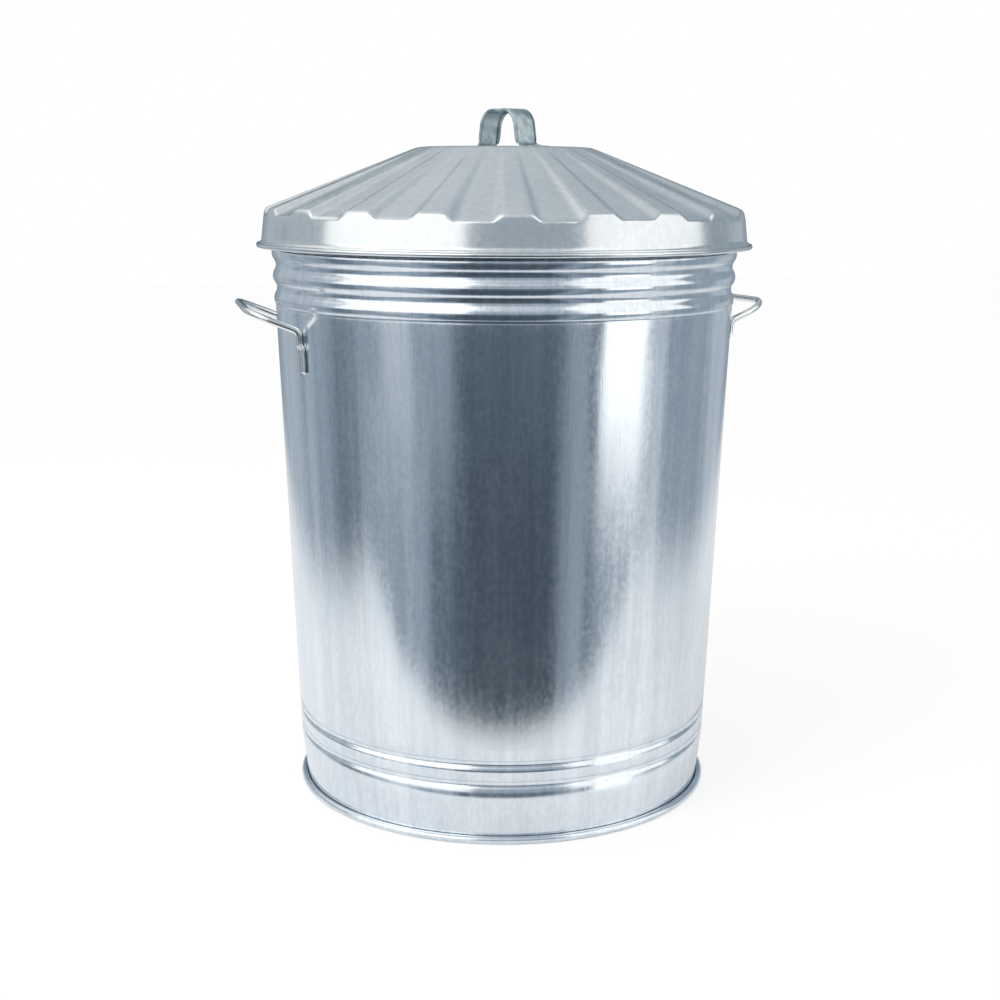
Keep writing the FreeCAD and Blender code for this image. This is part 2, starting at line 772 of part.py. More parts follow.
def write_parts():
    """Check every object, then write one STEP file for each piece."""
    doc.recompute()
    for item in doc.Objects:
        if {"Invalid", "Error"} & set(item.State):
            raise RuntimeError(f"{item.Name} did not build: {item.State}")
    os.makedirs("parts", exist_ok=True)
    for name in NODES:
        node = doc.getObject(name)
        node.Label = name
        shape = node.Shape
        if shape.isNull() or not shape.isValid() or not shape.Solids:
            raise RuntimeError(f"{name} is not a valid solid")
        shape.exportStep(f"parts/{name}.step")
        print(f"{name}: {len(shape.Solids)} solid(s), {len(shape.Faces)} faces, {shape.Volume:.0f} mm3")


make_body_wall()
make_base_pan()
make_body_wires()
make_side_handle("right_side_handle", size("handle_turn_angle"))
make_side_handle("left_side_handle", HALF_TURN - size("handle_turn_angle"))
make_lid_shell()
make_strap_handle()
make_rivets()
write_parts()
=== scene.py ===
import bmesh
import bpy
import math
from mathutils import Matrix, Vector, noise


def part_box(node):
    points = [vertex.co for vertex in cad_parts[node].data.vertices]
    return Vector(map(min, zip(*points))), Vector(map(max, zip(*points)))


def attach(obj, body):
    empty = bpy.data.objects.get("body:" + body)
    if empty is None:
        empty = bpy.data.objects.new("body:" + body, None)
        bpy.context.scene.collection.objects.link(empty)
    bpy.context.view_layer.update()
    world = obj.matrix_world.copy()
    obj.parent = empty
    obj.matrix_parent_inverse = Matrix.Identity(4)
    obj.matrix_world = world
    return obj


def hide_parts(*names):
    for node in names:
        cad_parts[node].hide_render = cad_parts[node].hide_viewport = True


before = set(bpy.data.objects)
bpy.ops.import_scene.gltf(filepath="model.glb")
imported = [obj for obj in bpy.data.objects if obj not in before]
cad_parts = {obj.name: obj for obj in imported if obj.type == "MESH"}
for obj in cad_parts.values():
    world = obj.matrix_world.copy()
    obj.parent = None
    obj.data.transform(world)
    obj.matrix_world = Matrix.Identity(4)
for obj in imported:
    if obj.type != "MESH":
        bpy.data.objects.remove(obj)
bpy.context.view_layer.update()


# ---- Body wall --------------------------------------------------------------------------------
# One sheet of galvanised steel, rolled to a cone and lock-seamed at the back. Three ridges are
# rolled in under the top rim and two grooves above the foot, where they grip the bottom pan. Both
# edges are curled outwards round a wire.

SHEET = 0.0008
ROUND_STEPS = 256
BODY_HEIGHT = 0.591
WALL_TOP_RADIUS = 0.2352
WALL_FOOT_RADIUS = 0.2118
FOOT_BAND_RADIUS = 0.2084
FOOT_ROLL = 0.0039
FOOT_FLAT = 0.0006
TOP_ROLL = 0.0034
GROOVE_HEIGHTS = (0.0603, 0.0810)
GROOVE_DEPTH = 0.0022
GROOVE_REACH = 0.005
BEAD_COUNT = 3
BEAD_HEIGHT = 0.5065
BEAD_PITCH = 0.0225
BEAD_SWING = 0.00175
BEAD_INSET = 0.0005
BEAD_TOE = 0.004
CURL_END = math.sqrt(3) / 2


class Outline:
    """A line in the plane of the bin's axis, drawn point by point; x is the radius, z the height."""

    def __init__(self, radius, height):
        self.mesh = bmesh.new()
        self.tip = self.mesh.verts.new((radius, 0, height))

    def line(self, radius, height, parts=1):
        step = (Vector((radius, 0, height)) - self.tip.co) / parts
        for _ in range(parts):
            made = bmesh.ops.extrude_vert_indiv(self.mesh, verts=[self.tip])
            self.tip = made["verts"][0]
            self.tip.co += step

    def arc(self, middle, end, parts):
        """Round from here, through the middle point, to the end."""
        a = self.tip.co.copy()
        b = Vector((middle[0], 0, middle[1]))
        c = Vector((end[0], 0, end[1]))
        ab, ac = b - a, c - a
        axis = ab.cross(ac)
        toward = axis.cross(ab) * ac.length_squared + ac.cross(axis) * ab.length_squared
        centre = a + toward / (2 * axis.length_squared)
        sweep = (a - centre).angle(b - centre) + (b - centre).angle(c - centre)
        made = bmesh.ops.spin(
            self.mesh, geom=[self.tip], cent=centre, axis=axis.normalized(), angle=sweep, steps=parts
        )
        self.tip = [item for item in made["geom_last"] if isinstance(item, bmesh.types.BMVert)][0]

    def turned(self, steps=ROUND_STEPS):
        """The outline spun all the way round the bin's axis."""
        line = self.mesh.verts[:] + self.mesh.edges[:]
        full = 2 * math.pi
        bmesh.ops.spin(
            self.mesh, geom=line, cent=(0, 0, 0), axis=(0, 0, 1), angle=full, steps=steps, use_merge=True
        )
        bmesh.ops.remove_doubles(self.mesh, verts=self.mesh.verts, dist=0.00002)
        bmesh.ops.recalc_face_normals(self.mesh, faces=self.mesh.faces)
        return self.mesh


def finished(name, mesh, material, body, slot, *nodes, thickness=None, offset=-1.0):
    """Make a smooth object of a mesh, in the place of the plain nodes that it stands for."""
    for face in mesh.faces:
        face.smooth = True
    data = bpy.data.meshes.new(name)
    mesh.to_mesh(data)
    mesh.free()
    piece = bpy.data.objects.new(name, data)
    bpy.context.scene.collection.objects.link(piece)
    data.materials.append(material)
    if thickness:
        solid = piece.modifiers.new("sheet", "SOLIDIFY")
        solid.thickness = thickness
        solid.offset = offset
        solid.use_even_offset = True
    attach(piece, body)
    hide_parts(*nodes)
    return piece


class Signal:
    """A number that changes over a surface. Sums and products of it add Math nodes."""

    def __init__(self, finish, socket):
        self.finish = finish
        self.socket = socket

    def math(self, operation, *values):
        return self.finish.add("ShaderNodeMath", {"operation": operation}, dict(enumerate(values)))

    def __add__(self, other):
        return self.math("ADD", self, other)

    def __sub__(self, other):
        return self.math("SUBTRACT", self, other)

    def __rsub__(self, other):
        return self.math("SUBTRACT", other, self)

    def __mul__(self, other):
        return self.math("MULTIPLY", self, other)

    def __neg__(self):
        return self.math("MULTIPLY", self, -1.0)

    def between(self, low, high):
        """0 below low, 1 above high, and smooth in between."""
        settings = {"interpolation_type": "SMOOTHSTEP"}
        return self.finish.add("ShaderNodeMapRange", settings, {0: self, 1: low, 2: high})

    def inside(self, low, high, soft):
        """1 from low to high, fading to 0 over a soft edge."""
        rise = self.between(low - soft, low + soft)
        return rise * (1 - self.between(high - soft, high + soft))

    __radd__ = __add__
    __rmul__ = __mul__


class Finish:
    """The node tree of a material or of the world."""

    def __init__(self, owner):
        owner.use_nodes = True
        self.tree = owner.node_tree
        self.tree.nodes.clear()

    def add(self, kind, settings=None, sockets=None, output=0):
        """One node: its settings first, then the values or links of its sockets."""
        node = self.tree.nodes.new(kind)
        for name, value in (settings or {}).items():
            setattr(node, name, value)
        for name, value in (sockets or {}).items():
            if isinstance(value, Signal):
                self.tree.links.new(value.socket, node.inputs[name])
            else:
                node.inputs[name].default_value = value
        return Signal(self, node.outputs[output]) if node.outputs else None

    def noise(self, where, stretch, size, detail=2.0):
        """Cloudy noise whose blotches are about size metres across, stretched along an axis."""
        placed = self.add("ShaderNodeMapping", None, {"Vector": where, "Scale": stretch})
        return self.add("ShaderNodeTexNoise", None, {"Vector": placed, "Scale": 1 / size, "Detail": detail})

    def mix(self, share, low, high):
        settings = {"data_type": "RGBA"}
        sockets = {"Factor": share, 6: low, 7: high}
        return self.add("ShaderNodeMix", settings, sockets, output=2)


def zinc(name, dark, light, roughness, grain, spangle, matt=None):
    """Galvanised steel: faint zinc crystals under a fine drawn grain, with uneven gloss.

    The grain is how far its marks are stretched along Z and how strong they are; the spangle is the
    crystals' size and how strongly they differ."""
    material = bpy.data.materials.new(name)
    finish = Finish(material)
    where = finish.add("ShaderNodeTexCoord", output=3)
    along = (1.0, 1.0, 1 / grain[0])
    fine = finish.noise(where, along, 0.0012, 2.0)
    streaks = finish.noise(where, along, 0.011, 3.0)
    clouds = finish.noise(where, (1.0, 1.0, 0.6), 0.07, 4.0)
    specks = finish.noise(where, (1.0, 1.0, 0.7), 0.004, 3.0)
    cells = {"Vector": where, "Scale": 1 / spangle[0]}
    crystal = finish.add("ShaderNodeTexVoronoi", {"feature": "SMOOTH_F1"}, cells, output=1)
    crystal = finish.add("ShaderNodeSeparateColor", None, {0: crystal}) - 0.5
    tone = (fine - 0.5) * grain[1] + (streaks - 0.5) * grain[1] * 1.5
    tone = tone + (specks - 0.5) * 0.9 + (clouds - 0.5) * 0.8 + crystal * spangle[1] + 0.5
    tone = tone.between(0.0, 1.0)
    shine = roughness + (clouds - 0.5) * 0.16 + (streaks - 0.5) * grain[1] * 0.1
    shine = shine + crystal * spangle[1] * 0.2 + (specks - 0.5) * 0.12
    if matt is not None:
        height = finish.add("ShaderNodeSeparateXYZ", None, {0: where}, output=2)
        shine = shine + height.between(matt[0], matt[1]) * matt[2]
    relief = fine * grain[1] * 0.4 + specks * 0.5 + crystal * spangle[1]
    bump = finish.add("ShaderNodeBump", None, {"Strength": 0.22, "Distance": 0.0002, "Height": relief})
    surface = finish.add(
        "ShaderNodeBsdfPrincipled",
        None,
        {
            "Base Color": finish.mix(tone, (*dark, 1), (*light, 1)),
            "Metallic": 1.0,
            "Roughness": shine,
            "Normal": bump,
        },
    )
    finish.add("ShaderNodeOutputMaterial", None, {"Surface": surface})
    return material


def wall_at(height):
    """The outside of the plain wall at a height."""
    return WALL_FOOT_RADIUS + (WALL_TOP_RADIUS - WALL_FOOT_RADIUS) * height / BODY_HEIGHT


def wall_face(height, pressed_in=0.0):
    """A point on the inner face of the wall."""
    return wall_at(height) - SHEET - pressed_in, height


def body_line():
    """The inner face of the wall, from the curl at the foot to the curl at the top."""
    middle = FOOT_BAND_RADIUS - SHEET + FOOT_ROLL
    rise = math.sqrt(FOOT_ROLL**2 - FOOT_FLAT**2)
    turn = FOOT_ROLL * math.sqrt(0.5)
    line = Outline(middle - FOOT_ROLL / 2, rise + FOOT_ROLL * CURL_END)
    line.arc((middle + FOOT_ROLL, rise), (middle + FOOT_FLAT, 0.0), 18)
    line.line(middle - FOOT_FLAT, 0.0)
    line.arc((middle - turn, rise - turn), (middle - FOOT_ROLL, rise), 8)
    for groove in GROOVE_HEIGHTS:
        line.line(*wall_face(groove - GROOVE_REACH), parts=3)
        line.arc(wall_face(groove, GROOVE_DEPTH), wall_face(groove + GROOVE_REACH), 8)
    quarter = BEAD_PITCH / 4
    line.line(*wall_face(BEAD_HEIGHT - quarter - BEAD_TOE), parts=40)
    line.line(*wall_face(BEAD_HEIGHT - quarter, BEAD_INSET), parts=2)
    for number in range(BEAD_COUNT):
        crest = BEAD_HEIGHT + BEAD_PITCH * number
        line.arc(wall_face(crest, BEAD_INSET - BEAD_SWING), wall_face(crest + quarter, BEAD_INSET), 10)
        if number < BEAD_COUNT - 1:
            valley = crest + BEAD_PITCH / 2
            bottom = wall_face(valley, BEAD_INSET + BEAD_SWING)
            line.arc(bottom, wall_face(valley + quarter, BEAD_INSET), 10)
    neck_height = BEAD_HEIGHT + BEAD_PITCH * (BEAD_COUNT - 0.5)
    neck = wall_at(neck_height) - BEAD_INSET - BEAD_SWING - SHEET
    line.arc(wall_face(neck_height - quarter / 2, BEAD_INSET + BEAD_SWING * 0.75), (neck, neck_height), 5)
    line.line(neck, BODY_HEIGHT - TOP_ROLL, parts=3)
    middle = neck + TOP_ROLL
    end = (middle - TOP_ROLL / 2, BODY_HEIGHT - TOP_ROLL - TOP_ROLL * CURL_END)
    line.arc((middle + TOP_ROLL, BODY_HEIGHT - TOP_ROLL), end, 20)
    return line


def rippled(mesh, low, high, depth):
    """Slight upright ripples, left in the sheet by the rolls, that fade out at both ends."""
    for vert in mesh.verts:
        fade = min(vert.co.z - low, high - vert.co.z) / 0.04
        if fade > 0:
            out = Vector((vert.co.x, vert.co.y, 0)).normalized()
            ripple = noise.noise(Vector((out.x * 9, out.y * 9, vert.co.z * 1.2)))
            ripple += 0.5 * noise.noise(Vector((out.x * 22, out.y * 22, vert.co.z * 0.7 + 5)))
            vert.co += out * ripple * depth * min(fade, 1.0)


BODY_ZINC = zinc("body_zinc", (0.66, 0.72, 0.77), (0.84, 0.88, 0.92), 0.17, (40, 0.8), (0.006, 0.12))
body_mesh = body_line().turned()
rippled(body_mesh, GROOVE_HEIGHTS[1] + GROOVE_REACH, BEAD_HEIGHT - BEAD_PITCH / 2, 0.00022)
finished("bin_body_wall", body_mesh, BODY_ZINC, "body", "body_zinc", "body_wall", thickness=SHEET)


SEAM_WIDTH = 0.009
SEAM_PROUD = 0.0012
SEAM_SUNK = 0.0006
SEAM_MARGIN = 0.006
SEAM_LOW = GROOVE_HEIGHTS[1] + GROOVE_REACH + SEAM_MARGIN
SEAM_HIGH = BEAD_HEIGHT - BEAD_PITCH / 4 - BEAD_TOE - SEAM_MARGIN


def lock_seam():
    """A flat folded strip down the back, with softened edges and a shallow step along one side."""
    low, high = SEAM_LOW, SEAM_HIGH
    mesh = bmesh.new()
    for width, proud in ((SEAM_WIDTH, SEAM_PROUD), (SEAM_WIDTH * 0.55, SEAM_PROUD + 0.0004)):
        made = bmesh.ops.create_cube(mesh, size=1.0)
        size = Matrix.Diagonal((width, proud + SEAM_SUNK, high - low, 1.0))
        lean = math.atan((wall_at(high) - wall_at(low)) / (high - low))
        depth = wall_at((low + high) / 2) + (proud - SEAM_SUNK) / 2
        place = Matrix.Translation((0, depth, (low + high) / 2)) @ Matrix.Rotation(-lean, 4, "X")
        shift = Matrix.Translation(((SEAM_WIDTH - width) / 2, 0, 0))
        bmesh.ops.transform(mesh, matrix=shift @ place @ size, verts=made["verts"])
    bmesh.ops.bevel(
        mesh, geom=mesh.edges[:], offset=0.0004, affect="EDGES", segments=2, profile=0.5, material=-1
    )
    return mesh


finished("bin_lock_seam", lock_seam(), BODY_ZINC, "body", "body_zinc", "body_wall")


# ---- Bottom pan -------------------------------------------------------------------------------
# A pressed disc with a turned-up edge, held in the wall between the two grooves, so that the bin
# stands on its rolled foot. Its middle is raised a little to stiffen it.

PAN_SHEET = 0.001
PAN_LOW = GROOVE_HEIGHTS[0] + GROOVE_REACH + 0.0003
PAN_EDGE = wall_at(PAN_LOW) - SHEET - 0.0003
PAN_FLANGE = 0.008
PAN_BEND = 0.002
PAN_DISH = 0.165
PAN_RISE = 0.004
PAN_SLOPE = 0.009


def pan_line():
    """The underside of the pan, from its middle to the top of its turned-up edge."""
    diagonal = PAN_BEND * (1 - math.sqrt(0.5))
    line = Outline(0.0, PAN_LOW + PAN_RISE)
    line.line(PAN_DISH - 0.003, PAN_LOW + PAN_RISE, parts=12)
    line.arc((PAN_DISH, PAN_LOW + PAN_RISE - 0.0006), (PAN_DISH + 0.0025, PAN_LOW + PAN_RISE - 0.0016), 4)
    foot = PAN_DISH + PAN_SLOPE
    line.line(foot - 0.0025, PAN_LOW + 0.0016)
    line.arc((foot, PAN_LOW + 0.0006), (foot + 0.003, PAN_LOW), 4)
    line.line(PAN_EDGE - PAN_BEND, PAN_LOW, parts=4)
    line.arc((PAN_EDGE - diagonal, PAN_LOW + diagonal), (PAN_EDGE, PAN_LOW + PAN_BEND), 6)
    line.line(PAN_EDGE, PAN_LOW + PAN_FLANGE, parts=2)
    return line


PAN_ZINC = zinc("pan_zinc", (0.50, 0.54, 0.58), (0.70, 0.74, 0.77), 0.38, (1, 0.3), (0.012, 0.5))
finished(
    "bin_base_pan", pan_line().turned(), PAN_ZINC, "body", "body_zinc", "base_pan",
    thickness=PAN_SHEET,
)


# ---- Rim wires --------------------------------------------------------------------------------
# Round steel wires that the rolled edges of the body and of the lid are closed round. They show
# only as a dull line in the gap of each roll.

WIRE_STEEL = zinc("wire_steel", (0.30, 0.31, 0.32), (0.42, 0.43, 0.44), 0.5, (1, 0.3), (0.004, 0.2))
for node in ("top_rim_wire", "foot_rim_wire", "lid_rim_wire"):
    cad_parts[node].data.materials.clear()
    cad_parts[node].data.materials.append(WIRE_STEEL)


# ---- Side handles -----------------------------------------------------------------------------
# A bright galvanised rod, bent to a flat loop that stands out from the wall below the ridges. Its
# two legs turn down the wall, and their ends are hammered to flat paddles and spot-welded on.

ROD = 0.0033
WELD_GAP = 0.0001
HANDLE_SPREAD = 0.165
HANDLE_BEND_HEIGHT = 0.482
HANDLE_REACH = 0.035
HANDLE_RISE = 0.0185
HANDLE_CORNER = 0.03
HANDLE_BEND = 0.008
HANDLE_TURN = 4.8
PADDLE_WIDTH = 0.011
PADDLE_DEPTH = 0.003
PADDLE_LENGTH = 0.0215
PADDLE_TAPER = 0.008
PADDLE_CORNER = 0.003


class Bar:
    """A bar or strip of one section, pushed straight on or swung round a bend from its first end."""

    def __init__(self, section):
        self.mesh = section
        self.ring = section.edges[:]

    def corners(self):
        return list({vert for edge in self.ring for vert in edge.verts})

    def push(self, step, parts=1):
        for _ in range(parts):
            made = bmesh.ops.extrude_edge_only(self.mesh, edges=self.ring)
            verts = {item for item in made["geom"] if isinstance(item, bmesh.types.BMVert)}
            edges = {edge for vert in verts for edge in vert.link_edges}
            self.ring = [edge for edge in edges if set(edge.verts) <= verts]
            bmesh.ops.translate(self.mesh, vec=step / parts, verts=list(verts))

    def swing(self, centre, axis, angle, parts):
        made = bmesh.ops.spin(
            self.mesh, geom=self.corners() + self.ring, cent=centre, axis=axis, angle=angle, steps=parts
        )
        self.ring = [item for item in made["geom_last"] if isinstance(item, bmesh.types.BMEdge)]

    def follow(self, points, radii, parts, run_parts=1):
        """Run from point to point, each corner between them rounded by its radius."""
        here = points[0]
        for before, corner, after, radius in zip(points, points[1:], points[2:], radii):
            back = (before - corner).normalized()
            onward = (after - corner).normalized()
            half = back.angle(onward) / 2
            centre = corner + (back + onward).normalized() * radius / math.sin(half)
            setback = radius / math.tan(half)
            self.push(corner + back * setback - here, run_parts)
            self.swing(centre, onward.cross(back).normalized(), math.pi - half * 2, parts)
            here = corner + onward * setback
        self.push(points[-1] - here, run_parts)


def on_wall(height, stand_off):
    """A point off the wall at a leg of the handle."""
    across = HANDLE_SPREAD / 2
    return Vector((math.sqrt((wall_at(height) + stand_off) ** 2 - across**2), across, height))


def hammered(bar, height, wide, deep, squareness):
    """Carry the leg down to a height, where its section is wide, deep and more or less square."""
    middle = sum((vert.co for vert in bar.corners()), Vector()) / len(bar.corners())
    bar.push(Vector((0, 0, 0)))
    target = on_wall(height, WELD_GAP + deep / 2)
    outward = Vector((target.x, target.y, 0)).normalized()
    along = Vector((0, 0, 1)).cross(outward)
    for vert in bar.corners():
        turn = math.atan2((vert.co - middle).dot(along), (vert.co - middle).dot(outward))
        x = math.copysign(abs(math.cos(turn)) ** (2 / squareness), math.cos(turn)) * deep / 2
        y = math.copysign(abs(math.sin(turn)) ** (2 / squareness), math.sin(turn)) * wide / 2
        vert.co = target + outward * x + along * y


def side_handle(turn):
    """Half of a handle, from the middle of its grip to a paddle, mirrored and turned into place."""
    rod_end = HANDLE_BEND_HEIGHT - HANDLE_BEND - ROD
    reach = wall_at(HANDLE_BEND_HEIGHT) + HANDLE_REACH
    bar_height = HANDLE_BEND_HEIGHT + HANDLE_RISE
    bend = on_wall(HANDLE_BEND_HEIGHT, WELD_GAP + ROD)
    points = [
        Vector((reach, 0, bar_height)),
        Vector((reach, bend.y, bar_height)),
        bend,
        on_wall(rod_end, WELD_GAP + ROD),
    ]
    section = bmesh.new()
    facing = Matrix.Translation(points[0]) @ Matrix.Rotation(math.pi / 2, 4, "X")
    bmesh.ops.create_circle(section, segments=24, radius=ROD, matrix=facing)
    bar = Bar(section)
    bar.follow(points, (HANDLE_CORNER, HANDLE_BEND), 12, run_parts=2)
    flat_top = rod_end - PADDLE_TAPER
    flat_low = flat_top - PADDLE_LENGTH
    parts = 8
    for number in range(1, parts + 1):
        share = number / parts
        ease = share * share * (3 - 2 * share)
        wide = 2 * ROD + (PADDLE_WIDTH - 2 * ROD) * ease
        deep = 2 * ROD + (PADDLE_DEPTH - 2 * ROD) * ease
        hammered(bar, rod_end - PADDLE_TAPER * share, wide, deep, 2 + 3 * ease)
    for number in range(1, parts + 1):
        height = flat_top - (PADDLE_LENGTH - PADDLE_CORNER) * number / parts
        hammered(bar, height, PADDLE_WIDTH, PADDLE_DEPTH, 5)
    for number in range(1, 6):
        angle = math.pi / 2 * number / 5
        narrow = PADDLE_CORNER * (1 - math.cos(angle))
        height = flat_low + PADDLE_CORNER * (1 - math.sin(angle))
        hammered(bar, height, PADDLE_WIDTH - narrow * 2, PADDLE_DEPTH - narrow * 0.3, 5)
    bmesh.ops.edgeloop_fill(bar.mesh, edges=bar.ring)
    every = bar.mesh.verts[:] + bar.mesh.edges[:] + bar.mesh.faces[:]
    bmesh.ops.mirror(bar.mesh, geom=every, matrix=Matrix(), merge_dist=0.00002, axis="Y")
    bmesh.ops.remove_doubles(bar.mesh, verts=bar.mesh.verts, dist=0.00001)
    bmesh.ops.recalc_face_normals(bar.mesh, faces=bar.mesh.faces)
    spin = Matrix.Rotation(math.radians(turn), 3, "Z")
    bmesh.ops.rotate(bar.mesh, cent=(0, 0, 0), matrix=spin, verts=bar.mesh.verts)
    return bar.mesh


ROD_ZINC = zinc("handle_zinc", (0.74, 0.75, 0.74), (0.90, 0.90, 0.88), 0.22, (1, 0.3), (0.004, 0.2))
for name, turn in (("right_side_handle", HANDLE_TURN), ("left_side_handle", 180 - HANDLE_TURN)):
    finished("bin_" + name, side_handle(turn), ROD_ZINC, "body", "handle_rod_steel", name)


# ---- Lid --------------------------------------------------------------------------------------
# A pressed lid: a flat disc, twenty flutes that widen down the cone, a short skirt that the flutes
# scallop, and an edge rolled outwards round a wire. It drops loosely over the rim of the body.

LID_SHEET = 0.0008
LID_HEIGHT = 0.0986
LID_RIM = 0.25
LID_ROLL = 0.0024
DISC_RADIUS = 0.087
DISC_BEND = 0.006
CREST_HEIGHT = 0.0381
SKIRT_BOTTOM = 0.2455
SKIRT_TOP = 0.2413
SKIRT_JOIN = 0.0065
FLUTES = 20
FLUTE_DEPTH = 0.0059
SHOULDER = 0.006
LID_TURN = -69.3
LID_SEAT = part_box("lid_shell")[0][2]
LID_ROUND_STEPS = FLUTES * 24
FLUTE_FOOT = 0.012
FLUTE_CREST = 0.15
FLUTE_VALLEY = 0.29


def skirt_face(height):
    """A point on the inner face of the skirt."""
    lean = (SKIRT_BOTTOM - SKIRT_TOP) / CREST_HEIGHT
    return SKIRT_BOTTOM - lean * height - LID_SHEET, height


def lid_line():
    """The underside of the lid along a crest, from the end of the roll to the middle of the disc."""
    wire = LID_RIM - LID_ROLL
    curl = LID_ROLL + LID_ROLL * CURL_END
    line = Outline(wire + LID_ROLL / 2, curl)
    line.arc((wire, 0.0), (wire - LID_ROLL / 2, curl), 24)
    line.line(*skirt_face(SKIRT_JOIN), parts=2)
    slope = (LID_HEIGHT - CREST_HEIGHT) / (SKIRT_TOP - DISC_RADIUS)
    corner = Vector((SKIRT_TOP - LID_SHEET, CREST_HEIGHT - LID_SHEET * 0.7))
    down = (Vector(skirt_face(SKIRT_JOIN)) - corner).normalized()
    inward = Vector((-1, slope)).normalized()
    half = down.angle(inward) / 2
    setback = SHOULDER / math.tan(half)
    start = corner + down * setback
    end = corner + inward * setback
    middle = corner + (down + inward).normalized() * (SHOULDER / math.sin(half) - SHOULDER)
    line.line(*start, parts=8)
    line.arc(tuple(middle), tuple(end), 8)
    under = LID_HEIGHT - LID_SHEET
    line.line(DISC_RADIUS + DISC_BEND, under - slope * DISC_BEND, parts=24)
    line.arc((DISC_RADIUS, under - slope * DISC_BEND * 0.25), (DISC_RADIUS - DISC_BEND, under), 6)
    line.line(0.0, under, parts=10)
    return line


def fluted(mesh):
    """Press the flutes: flat valleys drop between narrower crests, and shorten the skirt."""
    lean = (SKIRT_BOTTOM - SKIRT_TOP) / CREST_HEIGHT
    for vert in mesh.verts:
        radius = math.hypot(vert.co.x, vert.co.y)
        up = (vert.co.z - FLUTE_FOOT) / (CREST_HEIGHT - FLUTE_FOOT)
        out = (radius - DISC_RADIUS) / (SKIRT_TOP - DISC_RADIUS)
        if up > 0 and out > 0:
            turn = math.atan2(vert.co.y, vert.co.x) / (2 * math.pi) * FLUTES
            wave = (abs(turn - round(turn)) - FLUTE_CREST) / (FLUTE_VALLEY - FLUTE_CREST)
            wave = min(max(wave, 0.0), 1.0)
            wave = wave * wave * (3 - 2 * wave)
            drop = FLUTE_DEPTH * wave * min(up, 1) * min(out, 1)
            vert.co.z -= drop
            grow = 1 + lean * drop * min(out, 1) / radius
            vert.co.x *= grow
            vert.co.y *= grow
    return mesh


def seated(mesh):
    """Put a piece, modelled about the lid's own edge, in its place on the body."""
    place = Matrix.Translation((0, 0, LID_SEAT)) @ Matrix.Rotation(math.radians(LID_TURN), 4, "Z")
    bmesh.ops.transform(mesh, matrix=place, verts=mesh.verts)
    return mesh


MATT_FROM = LID_SEAT + CREST_HEIGHT - 0.007
LID_ZINC = zinc(
    "lid_zinc", (0.68, 0.71, 0.72), (0.82, 0.85, 0.86), 0.18, (2, 0.4), (0.007, 0.15),
    matt=(MATT_FROM, MATT_FROM + 0.008, 0.14),
)
finished(
    "lid_pressing", seated(fluted(lid_line().turned(LID_ROUND_STEPS))), LID_ZINC, "lid", "lid_zinc",
    "lid_shell", thickness=LID_SHEET,
)


# ---- Lid handle -------------------------------------------------------------------------------
# A strap of galvanised sheet whose long edges are rolled under, so that it doesn't cut the hand. It
# is bent to an arch, and its two flat feet are riveted to the disc.

STRAP_SHEET = 0.0012
STRAP_WIDTH = 0.027
STRAP_ROLL = 0.0017
STRAP_OFFSET = 0.0032
STRAP_HEIGHT = 0.0365
STRAP_FOOT_REACH = 0.031
STRAP_TOP_REACH = 0.025
STRAP_CORNER = 0.018
STRAP_BEND = 0.008
STRAP_FOOT = 0.016
STRAP_TOE = 0.007


def strap_points():
    """The strap's underside from toe to toe."""
    toe = STRAP_FOOT_REACH + STRAP_BEND + STRAP_FOOT
    top = LID_HEIGHT + STRAP_HEIGHT
    left = [(-toe, LID_HEIGHT), (-STRAP_FOOT_REACH, LID_HEIGHT), (-STRAP_TOP_REACH, top)]
    right = [(-x, z) for x, z in reversed(left)]
    return [Vector((x, 0, z)) for x, z in left + right]


def strap_band():
    """The flat of the strap: its upper face, which gets its thickness downwards."""
    points = strap_points()
    half = STRAP_WIDTH / 2 - STRAP_ROLL
    section = Outline(-half, STRAP_SHEET)
    section.line(half, STRAP_SHEET, parts=8)
    stand = Matrix.Translation(points[0]) @ Matrix.Rotation(math.pi / 2, 4, "Z")
    bmesh.ops.transform(section.mesh, matrix=stand, verts=section.mesh.verts)
    bar = Bar(section.mesh)
    bar.follow(points, (STRAP_BEND, STRAP_CORNER, STRAP_CORNER, STRAP_BEND), 10, run_parts=8)
    for vert in bar.mesh.verts:
        past = abs(vert.co.x) - (points[-1].x - STRAP_TOE)
        if past > 0:
            vert.co.y *= 0.5 + 0.5 * math.sqrt(max(1 - (past / STRAP_TOE) ** 2, 0.0))
        vert.co.y += STRAP_OFFSET
    bmesh.ops.recalc_face_normals(bar.mesh, faces=bar.mesh.faces)
    top = max(bar.mesh.faces, key=lambda face: face.calc_center_median().z)
    if top.normal.z < 0:
        bmesh.ops.reverse_faces(bar.mesh, faces=bar.mesh.faces)
    return bar.mesh


def joined(whole, part):
    """Add a part's mesh to the whole's."""
    copy = bpy.data.meshes.new("part")
    part.to_mesh(copy)
    part.free()
    whole.from_mesh(copy)
    bpy.data.meshes.remove(copy)


